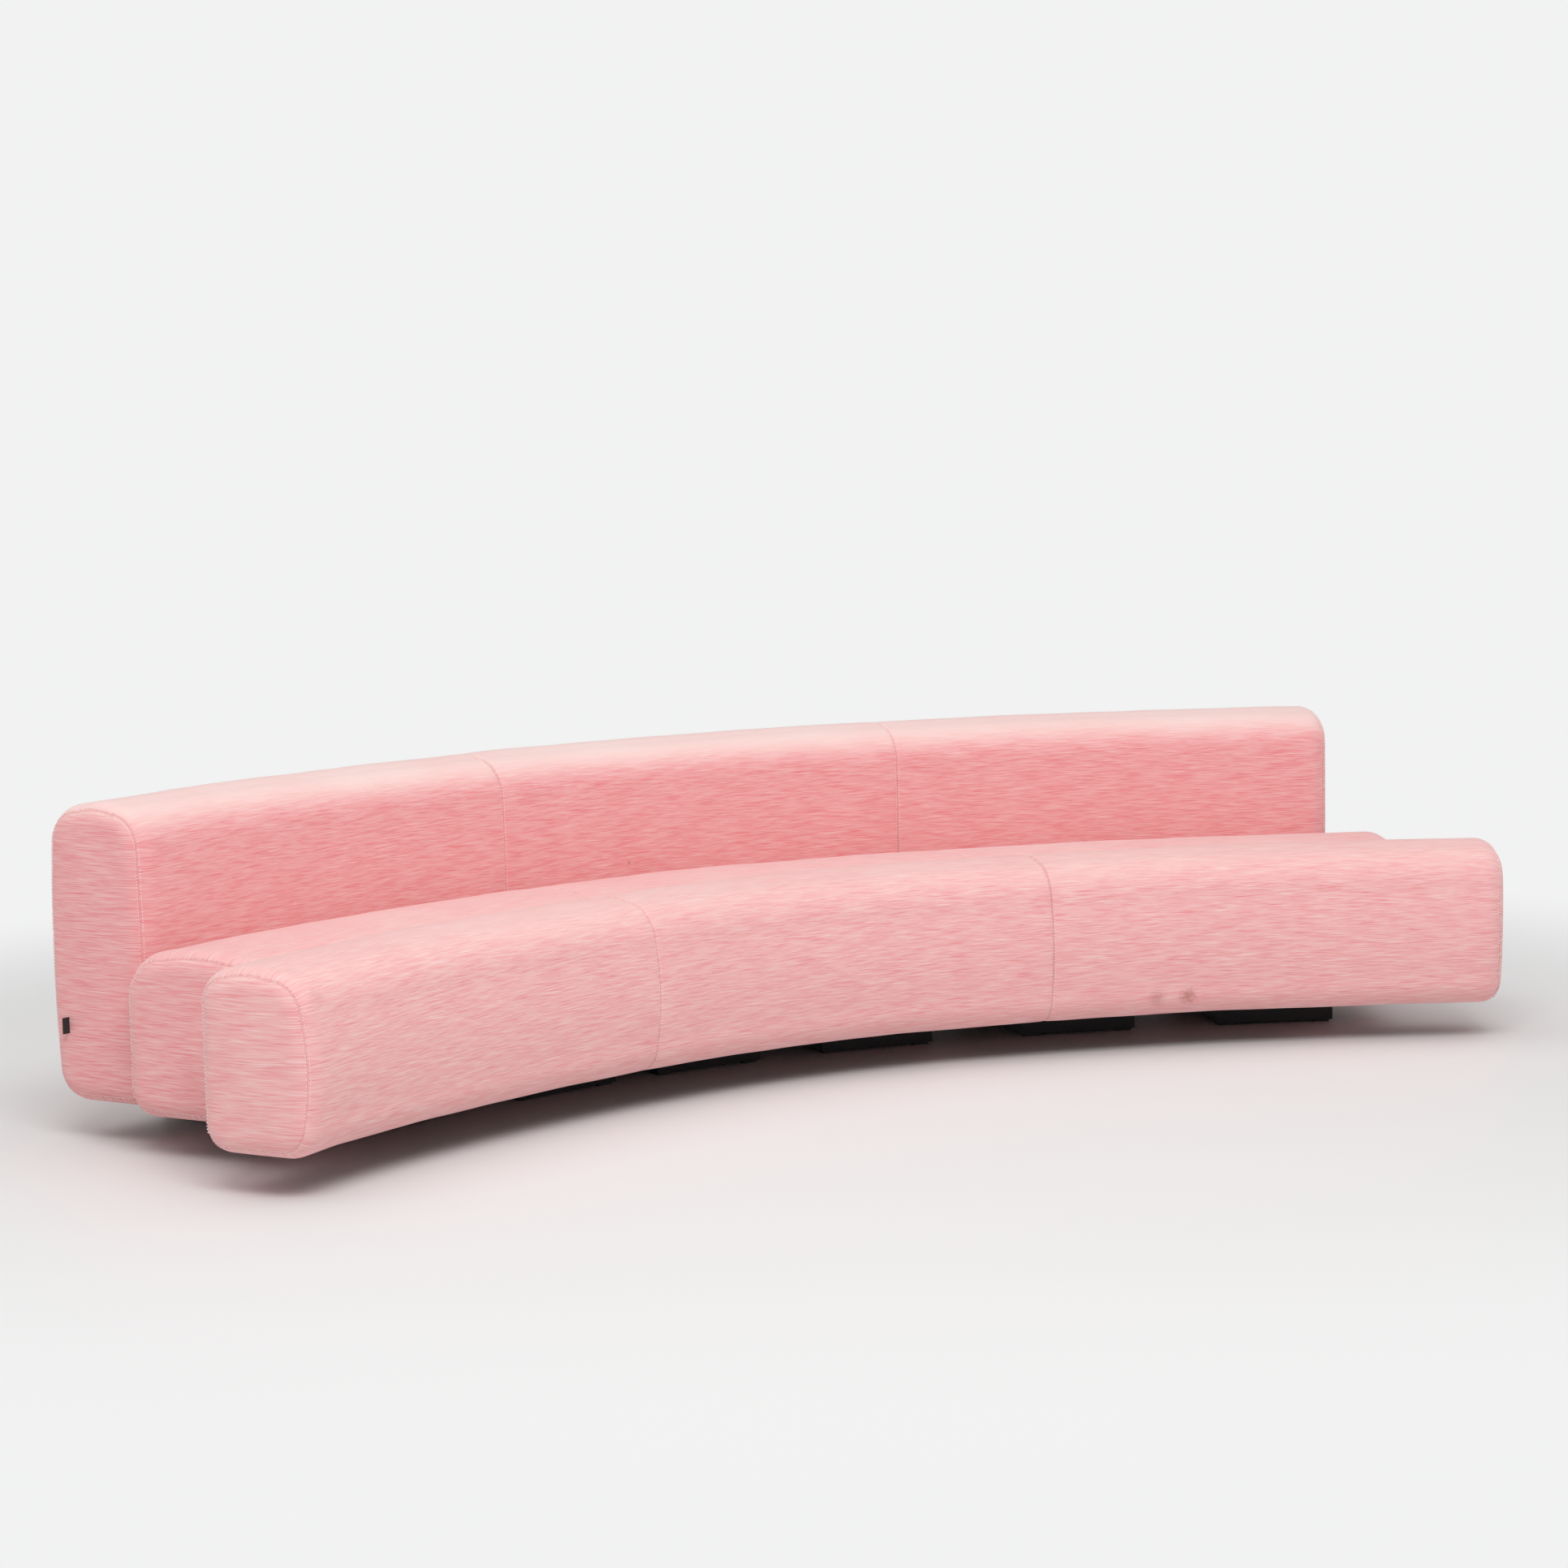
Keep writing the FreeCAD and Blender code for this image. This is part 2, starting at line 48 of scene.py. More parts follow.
# Rows. Start: how far the front face lies behind the front row's. Painted row shade: how much more of the
# deep pink is mixed in than on the front row, as painted shade on the rows behind. Marks: angles of the left
# end, the two cross seams and the right end.
# Corners: radii of rear foot, rear top, front top and front foot.
# Crowns: how far the bottom, rear, top and front stand out in the middle.
UNDERSIDE = 0.074
SIDES = ("left", "centre", "right")
ROWS = {
    "front": {
        "start": 0.0, "depth": 0.230, "height": 0.400, "painted_row_shade": 0.0,
        "marks": (-31.66, -13.0, 13.5, 31.66),
        "corners": (0.050, 0.062, 0.080, 0.062),
        "crowns": (0.0, 0.0, 0.006, 0.010),
    },
    "middle": {
        "start": 0.230, "depth": 0.323, "height": 0.380, "painted_row_shade": 0.10,
        "marks": (-28.1, -11.4, 12.3, 28.6),
        "corners": (0.050, 0.090, 0.070, 0.050),
        "crowns": (0.0, 0.0, 0.008, 0.0),
    },
    "back": {
        "start": 0.553, "depth": 0.230, "height": 0.629, "painted_row_shade": 0.13,
        "marks": (-26.98, -11.4, 11.4, 26.98),
        "corners": (0.062, 0.075, 0.075, 0.050),
        "crowns": (0.0, 0.007, 0.006, 0.004),
    },
}

# Mesh of a cover: steps of its rear, top, front and bottom, of each corner, and between its cross sections
SIDE_STEPS = (10, 20, 14, 20)
CORNER_STEPS = 12
LEAST_RADIUS = 0.002
SECTION_SPACING = 0.012
# Shift of the cloth's pattern from one panel to the next, and from one row to the next
PANEL_SHIFT = 1.7
ROW_SHIFT = 5.3

# Cross seams: a narrow dip with painted shade along its crease, in a wider hollow where the thread draws the
# cloth in
SEAM_DIP = 0.0025
DIP_REACH = 0.0035
SEAM_DRAW = 0.0012
DRAW_REACH = 0.03
SEAM_SHADE_REACH = 0.0022
SEAM_SECTIONS = (0.0, 0.0015, 0.003, 0.005, 0.008, 0.012, 0.018)

# Rounded row ends. Turns run in degrees from the end panel, 0, to the row's full section, 90.
END_ROUND = 0.042
END_SEAM = 48.0
END_DIP_TURN = 3.0
# Width of the painted shade along the end seam, in degrees of turn
END_SEAM_SHADE_TURN = 2.0
END_SEAM_DEPTH = END_ROUND * (1.0 - math.cos(math.radians(END_SEAM)))
END_TURNS = (90, 82, 74, 66, 58, 54, 51, 49.5, 48, 46.5, 45, 42, 38, 30, 22, 14, 7, 0)
END_SHARES = (0.92, 0.8, 0.62, 0.42, 0.2)
END_SWELL = 0.004

# Unevenness of the foam under a taut cover
FOAM_SIZE = 0.19
FOAM_DEPTH = 0.0045

# Cover thread: stitch and gap along a seam, its distance from a cross seam, and half its thickness
STITCH = 0.0042
STITCH_GAP = 0.0016
STITCH_ASIDE = 0.0032
STITCH_TURN = 5.0
LEAST_STITCH = 0.4
THREAD = 0.0012
THREAD_SUNK = 0.4

# Folded tag in the rear seam of the back row's left end
TAG_INSET = 0.7355
TAG_REACH = 0.018
TAG_LOW, TAG_HIGH = 0.205, 0.235
TAG_HALF = 0.0007
TAG_TAPER = 0.3
TAG_WAVE = 0.0012
TAG_WAVE_TURN = 2.2
TAG_STEPS, TAG_LEVELS = 8, 6

# Colours of the cover cloth, in linear colour: dyes, painted light, stains, painted shade, sheen and thread
FABRIC_PALE = (0.91, 0.645, 0.62, 1.0)
FABRIC_DEEP = (0.81, 0.24, 0.26, 1.0)
# Painted light on the tops
FABRIC_PAINTED_LIGHT = (0.88, 0.69, 0.65, 1.0)
FABRIC_STAIN = (0.55, 0.22, 0.19, 1.0)
# Painted shade in the seams' creases
FABRIC_SEAM_SHADE = (0.50, 0.19, 0.19, 1.0)
FABRIC_SHEEN = (1.0, 0.86, 0.85, 1.0)
THREAD_DARK = (0.90, 0.66, 0.62, 1.0)
THREAD_PALE = (0.95, 0.80, 0.76, 1.0)
THREAD_GRAINS = 400.0
# Yarns: rows across the cloth and blots of dye along each of them, per metre, and their share of the colour
THICK_YARNS, THICK_SHARE = (850.0, 12.0), 0.6
THIN_YARNS, THIN_SHARE = (1900.0, 30.0), 0.4
YARN_SPREAD = 977.0
DYE_RANGE = (0.16, 0.84)
# Share of painted shade in the seams' creases
SEAM_SHADE_SHARE = 0.22
# Relief: dents of the weave per metre, shares of dents and of yarns, and the strength and depth of both
WEAVE_DENTS = (900.0, 1300.0, 1.0)
DENT_SHARE, YARN_SHARE = 0.6, 0.4
WEAVE_BUMP = (0.35, 0.0006)
# Painted light on the tops: it grows as a face turns upward and near the backrest's top, in clouds, each with
# its share
UPWARD_RANGE = (0.1, 1.0)
HEIGHT_RANGE = (0.50, 0.62)
CLOUDS_PER_METRE = 3.0
CLOUD_SHARE, HEIGHT_SHARE = 0.6, 0.5
# Ragged edge of a spot of wear: grains per metre, and from which to which share of the radius it fades
EDGE_GRAINS = 120.0
EDGE_OUTSIDE, EDGE_INSIDE = 1.5, 0.6
# Spots of wear: place, radius and strength
STAINS = (
    ((0.749, -0.329, 0.116), 0.025, 0.85),
    ((0.686, -0.308, 0.114), 0.027, 0.50),
    ((-1.301, -0.579, 0.355), 0.026, 0.22),
    ((-0.162, 0.360, 0.394), 0.006, 1.0),
)

# Colour sockets of a mix node, whose names aren't unique
COLOUR_A, COLOUR_B, MIXED_COLOUR = 6, 7, 2

# Finishes of the other pieces by slot: name, darkest and palest colour, grains per metre and roughness
FINISHES = {
    "plinth": (
        "black_lacquer", (0.010, 0.010, 0.011, 1.0), (0.02, 0.02, 0.021, 1.0), (60.0, 60.0, 60.0), 0.55,
    ),
    "glide": (
        "glide_plastic", (0.02, 0.02, 0.02, 1.0), (0.04, 0.04, 0.04, 1.0), (200.0, 200.0, 200.0), 0.6,
    ),
    "underside_cloth": (
        "underside_cloth", (0.008, 0.008, 0.008, 1.0), (0.02, 0.02, 0.02, 1.0), (900.0, 900.0, 900.0), 0.95,
    ),
    "tag": (
        "tag_ribbon", (0.008, 0.008, 0.008, 1.0), (0.03, 0.03, 0.03, 1.0), (300.0, 300.0, 3000.0), 0.7,
    ),
    "frame_wood": (
        "plywood", (0.48, 0.33, 0.19, 1.0), (0.66, 0.50, 0.32, 1.0), (6.0, 6.0, 90.0), 0.7,
    ),
    "webbing": (
        "elastic_band", (0.02, 0.02, 0.02, 1.0), (0.06, 0.06, 0.06, 1.0), (500.0, 500.0, 50.0), 0.9,
    ),
}
# Strength and depth of their relief
GRAIN_BUMP = (0.3, 0.0003)

# Camera, matched to the photograph: place in metres, turns in radians, lens in pixels of the square frame
CAMERA_PLACE = (-4.121, -6.711, 1.467)
CAMERA_YAW = 0.546
CAMERA_PITCH = 0.163
CAMERA_ROLL = -0.016
FOCAL_PIXELS = 4910.2
MIDDLE_PIXEL = (950.2, 1213.6)
PHOTO_PIXELS = 1932.0
SENSOR = 36.0
FARTHEST = 200.0

# Studio: a floor that fades into the backdrop between two distances, soft light all round and two lamps
FLOOR_SIZE = 60.0
FLOOR_DARK = (0.80, 0.80, 0.795, 1.0)
FLOOR_LIGHT = (0.82, 0.82, 0.815, 1.0)
FLOOR_CLOUDS = 0.8
FLOOR_FADE = (1.6, 3.1)
BACKDROP = (0.885, 0.888, 0.888, 1.0)
SURROUNDINGS = (0.9, 0.9, 0.9, 1.0)
SURROUNDINGS_STRENGTH = 0.42
# Lamps: place, the point they face, width and height, and power
LAMPS = {
    "top_light": ((-0.3, -0.6, 5.0), (0.0, -0.2, 0.0), (9.0, 7.0), 150.0),
    "front_light": ((-2.8, -5.2, 6.4), (0.0, 0.0, 0.3), (5.0, 3.0), 325.0),
}


# Places on the curve

def place(angle, point):
    """Where a point of a row's section, (inset, height), lies at an angle of the curve."""
    turn = math.radians(angle)
    change = math.radians(CHANGE_ANGLE)
    inset, height = point
    if abs(angle) <= CHANGE_ANGLE:
        reach = CENTRE_RADIUS + inset
        return Vector((reach * math.sin(turn), ARC_CENTRE_Y + reach * math.cos(turn), height))
    side = 1.0 if angle > 0 else -1.0
    reach = SIDE_RADIUS + inset
    x = -side * ARC_SHIFT * math.sin(change) + reach * math.sin(turn)
    y = ARC_CENTRE_Y - ARC_SHIFT * math.cos(change) + reach * math.cos(turn)
    return Vector((x, y, height))


def degrees_for(length, angle, inset):
    """The turn that covers a length along the curve."""
    radius = CENTRE_RADIUS if abs(angle) < CHANGE_ANGLE else SIDE_RADIUS
    return math.degrees(length / (radius + inset))


# Sections of a row

def crowned_side(first, last, away, crown, steps):
    """Points between two corners, which stand out by the crown in the middle."""
    points = []
    for step in range(1, steps):
        share = step / steps
        bulge = crown * (1.0 - (2.0 * share - 1.0) ** 2)
        points.append((first[0] + (last[0] - first[0]) * share + away[0] * bulge,
                       first[1] + (last[1] - first[1]) * share + away[1] * bulge))
    return points


def outline(row, inset):
    """(inset, height) points round a row's section, drawn in by inset, from the rear foot up the rear."""
    size = ROWS[row]
    near, far = size["start"] + inset, size["start"] + size["depth"] - inset
    low, high = UNDERSIDE + inset, size["height"] - inset
    radii = [max(radius - inset, LEAST_RADIUS) for radius in size["corners"]]
    centres = [
        (far - radii[0], low + radii[0]), (far - radii[1], high - radii[1]),
        (near + radii[2], high - radii[2]), (near + radii[3], low + radii[3]),
    ]
    points = []
    for i in range(4):
        k = (i + 1) % 4
        for step in range(CORNER_STEPS + 1):
            turn = math.radians(90.0 * (i - 1) + 90.0 * step / CORNER_STEPS)
            points.append((centres[i][0] + radii[i] * math.cos(turn),
                           centres[i][1] + radii[i] * math.sin(turn)))
        turn = math.radians(90.0 * i)
        away = (math.cos(turn), math.sin(turn))
        last = (centres[k][0] + radii[k] * away[0], centres[k][1] + radii[k] * away[1])
        points += crowned_side(points[-1], last, away, size["crowns"][k], SIDE_STEPS[i])
    return points


def section_path(row, angle, inset):
    """A closed path round a row's section, as it lies on the cover."""
    return [place(angle, point) for point in outline(row, inset)]


# Cross sections of a panel, each with its angle, how far it is drawn in and how much painted shade its seam's
# crease gets

def seam_draw(away):
    """How far the cloth is drawn in at a distance from a cross seam."""
    return SEAM_DRAW * math.exp(-away / DRAW_REACH)


def seam_inset(away):
    """How far the cloth lies in at a distance from a cross seam, with the seam's own dip."""
    return SEAM_DIP * math.exp(-(away / DIP_REACH) ** 2) + seam_draw(away)


def rounding(degrees):
    """How far in from the row's end, and how far drawn in, its rounding lies at a turn."""
    turn = math.radians(degrees)
    return END_ROUND * (1.0 - math.sin(turn)), END_ROUND * (1.0 - math.cos(turn))


def seam_sections(angle, inward, start):
    sections = []
    for away in SEAM_SECTIONS:
        seam_shade = math.exp(-(away / SEAM_SHADE_REACH) ** 2)
        sections.append((angle + inward * degrees_for(away, angle, start), seam_inset(away), seam_shade))
    return sections


def end_sections(angle, inward, start):
    sections = []
    for degrees in END_TURNS:
        along, inset = rounding(degrees)
        dip = SEAM_DIP * math.exp(-((degrees - END_SEAM) / END_DIP_TURN) ** 2)
        seam_shade = math.exp(-((degrees - END_SEAM) / END_SEAM_SHADE_TURN) ** 2)
        sections.append((angle + inward * degrees_for(along, angle, start), inset + dip, seam_shade))
    return sections


def panel_sections(row, side):
    """All cross sections of a panel, close together at its seams and at a row's end."""
    start = ROWS[row]["start"]
    number = SIDES.index(side)
    low, high = ROWS[row]["marks"][number:number + 2]
    begin = (end_sections if side == "left" else seam_sections)(low, 1.0, start)
    finish = (end_sections if side == "right" else seam_sections)(high, -1.0, start)
    seams = [mark for mark, end in ((low, "left"), (high, "right")) if side != end]
    first, last = begin[-1][0], finish[-1][0]
    count = int(math.radians(last - first) * SIDE_RADIUS / SECTION_SPACING)
    between = []
    for step in range(1, count):
        angle = first + (last - first) * step / count
        draws = [seam_draw(math.radians(abs(angle - seam)) * SIDE_RADIUS) for seam in seams]
        between.append((angle, sum(draws), 0.0))
    return begin + between + finish[::-1]


# Covers

def new_piece(name, work, material):
    """An object from a finished mesh."""
    mesh = bpy.data.meshes.new(name)
    work.to_mesh(mesh)
    work.free()
    mesh.materials.append(material)
    piece = bpy.data.objects.new(name, mesh)
    bpy.context.scene.collection.objects.link(piece)
    return piece


def cloth_lengths(row, sections):
    """How far along the cloth each cross section lies."""
    middle = (ROWS[row]["start"] + ROWS[row]["depth"] / 2, 0.0)
    lengths = [0.0]
    for (angle, inset, _), (next_angle, next_inset, _) in zip(sections, sections[1:]):
        run = (place(next_angle, middle) - place(angle, middle)).length
        lengths.append(lengths[-1] + math.hypot(run, next_inset - inset))
    return lengths


def cloth_girth(row):
    """How far round the row each point of its section lies."""
    points = outline(row, 0.0)
    girth = [0.0]
    for a, b in zip(points, points[1:] + points[:1]):
        girth.append(girth[-1] + math.hypot(b[0] - a[0], b[1] - a[1]))
    return girth


def end_cloth(face):
    """Flat cloth places of a face of the end panel."""
    return [(vert.co.y, vert.co.z) for vert in face.verts]


def lay_cloth(face, cloth, corners, shift):
    for loop, (u, v) in zip(face.loops, corners):
        loop[cloth].uv = (u + shift, v)


def skin(work, cloth, row, sections, rings, shift):
    """Faces between the rings of a panel, with the cloth laid along the row."""
    lengths, girth = cloth_lengths(row, sections), cloth_girth(row)
    for j in range(len(rings) - 1):
        on_end = min(sections[j][1], sections[j + 1][1]) > END_SEAM_DEPTH
        for i in range(len(rings[j])):
            k = (i + 1) % len(rings[j])
            face = work.faces.new((rings[j][i], rings[j + 1][i], rings[j + 1][k], rings[j][k]))
            corners = ((lengths[j], girth[i]), (lengths[j + 1], girth[i]),
                       (lengths[j + 1], girth[i + 1]), (lengths[j], girth[i + 1]))
            lay_cloth(face, cloth, end_cloth(face) if on_end else corners, shift)


def close_end(work, cloth, ring, outward, shift):
    """Closes a panel with shrinking rings that swell a little in the middle."""
    middle = sum((vert.co for vert in ring), Vector()) / len(ring)
    flow = (ring[0].co - middle).cross(ring[len(ring) // 4].co - middle).normalized()
    if flow.x * outward < 0:
        flow = -flow
    before = ring
    for share in END_SHARES:
        swell = END_SWELL * (1.0 - share ** 2)
        new = [work.verts.new(middle + (vert.co - middle) * share + flow * swell) for vert in ring]
        for i in range(len(ring)):
            k = (i + 1) % len(ring)
            face = work.faces.new((before[i], before[k], new[k], new[i]))
            lay_cloth(face, cloth, end_cloth(face), shift)
        before = new
    face = work.faces.new(before)
    lay_cloth(face, cloth, end_cloth(face), shift)


def soften(panel):
    """Slight unevenness of the foam, pressed through the cloth."""
    texture = bpy.data.textures.new(panel.name + "_foam", "CLOUDS")
    texture.noise_scale = FOAM_SIZE
    texture.noise_depth = 1
    bend = panel.modifiers.new("foam", "DISPLACE")
    bend.texture = texture
    bend.texture_coords = "GLOBAL"
    bend.strength = FOAM_DEPTH
    bend.mid_level = 0.5


def cover(row, side, fabric):
    """One sewn panel with its crown, its drawn-in seams and, at a row's end, the rounded end panel."""
    sections = panel_sections(row, side)
    shift = PANEL_SHIFT * SIDES.index(side) + ROW_SHIFT * list(ROWS).index(row)
    work = bmesh.new()
    cloth = work.loops.layers.uv.new("cloth")
    seam_shades = work.verts.layers.float.new("seam_shade")
    rings = []
    for angle, inset, seam_shade in sections:
        ring = [work.verts.new(spot) for spot in section_path(row, angle, inset)]
        for vert in ring:
            vert[seam_shades] = seam_shade
        rings.append(ring)
    skin(work, cloth, row, sections, rings, shift)
    close_end(work, cloth, rings[0], -1.0, shift)
    close_end(work, cloth, rings[-1], 1.0, shift)
    bmesh.ops.recalc_face_normals(work, faces=work.faces)
    for face in work.faces:
        face.smooth = True
    panel = new_piece("cover_%s_%s" % (row, side), work, fabric)
    # Painted shade: the rows behind get more of the deep pink mixed in
    painted_row_shade = panel.data.attributes.new("painted_row_shade", "FLOAT", "POINT")
    painted_row_shade.data.foreach_set("value", [ROWS[row]["painted_row_shade"]] * len(panel.data.vertices))
    soften(panel)
    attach(panel, "root")
    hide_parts("%s_cushion_%s" % (row, side))


# Stitches

def add_thread(work, start, stop):
    """One stitch: a short spindle of thread."""
    way = (stop - start).normalized()
    side = way.orthogonal().normalized() * THREAD
    up = way.cross(side.normalized()) * THREAD
    middle = (start + stop) / 2
    ends = (work.verts.new(start), work.verts.new(stop))
    ring = [work.verts.new(middle + offset) for offset in (side, up, -side, -up)]
    for end in ends:
        for i in range(4):
            work.faces.new((end, ring[i], ring[(i + 1) % 4]))


def stitch_row(work, path):
    """Stitches that follow a closed path."""
    travelled = 0.0
    for a, b in zip(path, path[1:] + path[:1]):
        piece = (b - a).length
        while travelled < piece:
            start = a + (b - a) * (travelled / piece)
            stop = a + (b - a) * (min(travelled + STITCH, piece) / piece)
            if (stop - start).length > STITCH * LEAST_STITCH:
                add_thread(work, start, stop)
            travelled += STITCH + STITCH_GAP
        travelled -= piece


def stitches(row, thread):
    """Two stitched lines at each cross seam and two round each end panel."""
    marks, start = ROWS[row]["marks"], ROWS[row]["start"]
    sunk = THREAD * THREAD_SUNK
    work = bmesh.new()
    for seam in marks[1:3]:
        for aside in (-1.0, 1.0):
            angle = seam + aside * degrees_for(STITCH_ASIDE, seam, start)
            stitch_row(work, section_path(row, angle, seam_inset(STITCH_ASIDE) - sunk))
    for end, inward in ((marks[0], 1.0), (marks[3], -1.0)):
        for turn in (END_SEAM - STITCH_TURN, END_SEAM + STITCH_TURN):
            along, inset = rounding(turn)
            angle = end + inward * degrees_for(along, end, start)
            stitch_row(work, section_path(row, angle, inset - sunk))
    piece = new_piece("stitches_" + row, work, thread)
    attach(piece, "root")


# Tag

def tag_section():
    """(out, aside) points round the folded ribbon, seen from above."""
    points = []
    for side, steps in ((1.0, range(TAG_STEPS + 1)), (-1.0, range(TAG_STEPS, -1, -1))):
        for step in steps:
            share = step / TAG_STEPS
            half = TAG_HALF * (1.0 - TAG_TAPER * share)
            points.append((share * TAG_REACH, side * half + TAG_WAVE * math.sin(share * TAG_WAVE_TURN)))
    return points


def folded_tag(ribbon):
    """A small ribbon folded double, sewn into the end seam."""
    end = ROWS["back"]["marks"][0]
    work = bmesh.new()
    rings = []
    for level in range(TAG_LEVELS + 1):
        height = TAG_LOW + (TAG_HIGH - TAG_LOW) * level / TAG_LEVELS
        rings.append([
            work.verts.new(place(end - degrees_for(out, end, TAG_INSET), (TAG_INSET + aside, height)))
            for out, aside in tag_section()
        ])
    for low, high in zip(rings, rings[1:]):
        for i in range(len(low)):
            k = (i + 1) % len(low)
            work.faces.new((low[i], low[k], high[k], high[i]))
    work.faces.new(rings[0][::-1])
    work.faces.new(rings[-1])
    bmesh.ops.recalc_face_normals(work, faces=work.faces)
    tag = new_piece("tag", work, ribbon)
    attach(tag, "root")
    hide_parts("fabric_tag")


# Shader nodes

def new_material(name):
    material = bpy.data.materials.new(name)
    material.use_nodes = True
    tree = material.node_tree
    return material, tree, tree.nodes["Principled BSDF"]


def link(tree, source, target):
    tree.links.new(source, target)


def set_inputs(node, values):
    for name, value in values.items():
        node.inputs[name].default_value = value


def math_node(tree, operation, *values, clamp=False):
    """A sum of sockets and plain numbers."""
    node = tree.nodes.new("ShaderNodeMath")
    node.operation = operation
    node.use_clamp = clamp
    for socket, value in zip(node.inputs, values):
        if isinstance(value, float):
            socket.default_value = value
        else:
            link(tree, value, socket)
    return node.outputs[0]


def weighted(tree, a, share_a, b, share_b):
    """A sum of two sockets, each with its share."""
    return math_node(tree, "ADD", math_node(tree, "MULTIPLY", a, share_a),
                     math_node(tree, "MULTIPLY", b, share_b))


def noise(tree, vector, scale, detail=2.0, rough=0.5):
    node = tree.nodes.new("ShaderNodeTexNoise")
    set_inputs(node, {"Scale": scale, "Detail": detail, "Roughness": rough})
    link(tree, vector, node.inputs["Vector"])
    return node.outputs["Fac"]


def stretched(tree, vector, scale):
    node = tree.nodes.new("ShaderNodeMapping")
    set_inputs(node, {"Scale": scale})
    link(tree, vector, node.inputs["Vector"])
    return node.outputs["Vector"]


def separated(tree, vector):
    node = tree.nodes.new("ShaderNodeSeparateXYZ")
    link(tree, vector, node.inputs["Vector"])
    return node.outputs


def attribute(tree, name):
    node = tree.nodes.new("ShaderNodeAttribute")
    node.attribute_name = name
    return node.outputs["Fac"]


def mix(tree, share, a, b):
    """A colour between two sockets or plain colours."""
    node = tree.nodes.new("ShaderNodeMix")
    node.data_type = "RGBA"
    link(tree, share, node.inputs["Factor"])
    for socket, value in ((node.inputs[COLOUR_A], a), (node.inputs[COLOUR_B], b)):
        if isinstance(value, tuple):
            socket.default_value = value
        else:
            link(tree, value, socket)
    return node.outputs[MIXED_COLOUR]


def ramp(tree, value, low, high):
    """A smooth step from 0 at low to 1 at high."""
    node = tree.nodes.new("ShaderNodeMapRange")
    node.interpolation_type = "SMOOTHSTEP"
    set_inputs(node, {"From Min": low, "From Max": high})
    link(tree, value, node.inputs["Value"])
    return node.outputs["Result"]


def add_bump(tree, shader, height, strength, depth):
    bump = tree.nodes.new("ShaderNodeBump")
    set_inputs(bump, {"Strength": strength, "Distance": depth})
    link(tree, height, bump.inputs["Height"])
    link(tree, bump.outputs["Normal"], shader.inputs["Normal"])


# Materials

def yarns(tree, flat, rows, blots):
    """Yarns that run along the row, each with its own blots of dye."""
    row = math_node(tree, "FLOOR", math_node(tree, "MULTIPLY", flat["Y"], rows))
    own = tree.nodes.new("ShaderNodeTexWhiteNoise")
    own.noise_dimensions = "1D"
    link(tree, row, own.inputs["W"])
    along = math_node(tree, "ADD", math_node(tree, "MULTIPLY", flat["X"], blots),
                      math_node(tree, "MULTIPLY", own.outputs["Value"], YARN_SPREAD))
    node = tree.nodes.new("ShaderNodeTexNoise")
    node.noise_dimensions = "1D"
    set_inputs(node, {"Scale": 1.0, "Detail": 1.0})
    link(tree, along, node.inputs["W"])
    return node.outputs["Fac"]


def painted_top_light(tree, where, colour):
    """Painted light: faces that turn upward are painted paler in clouds, and the backrest's top most of all,
    as a painted highlight.
    """
    surface = tree.nodes.new("ShaderNodeNewGeometry")
    upward = ramp(tree, separated(tree, surface.outputs["Normal"])["Z"], *UPWARD_RANGE)
    height = ramp(tree, separated(tree, where)["Z"], *HEIGHT_RANGE)
    clouds = noise(tree, where, CLOUDS_PER_METRE, detail=3.0)
    strength = weighted(tree, clouds, CLOUD_SHARE, height, HEIGHT_SHARE)
    return mix(tree, math_node(tree, "MULTIPLY", upward, strength, clamp=True), colour, FABRIC_PAINTED_LIGHT)


def stained(tree, where, colour, spot, radius, strength):
    """A ragged spot round a place."""
    away = tree.nodes.new("ShaderNodeVectorMath")
    away.operation = "DISTANCE"
    away.inputs[1].default_value = spot
    link(tree, where, away.inputs[0])
    ragged = math_node(tree, "MULTIPLY", noise(tree, where, EDGE_GRAINS), radius)
    reach = math_node(tree, "ADD", away.outputs["Value"], ragged)
    inside = ramp(tree, reach, radius * EDGE_OUTSIDE, radius * EDGE_INSIDE)
    return mix(tree, math_node(tree, "MULTIPLY", inside, strength), colour, FABRIC_STAIN)


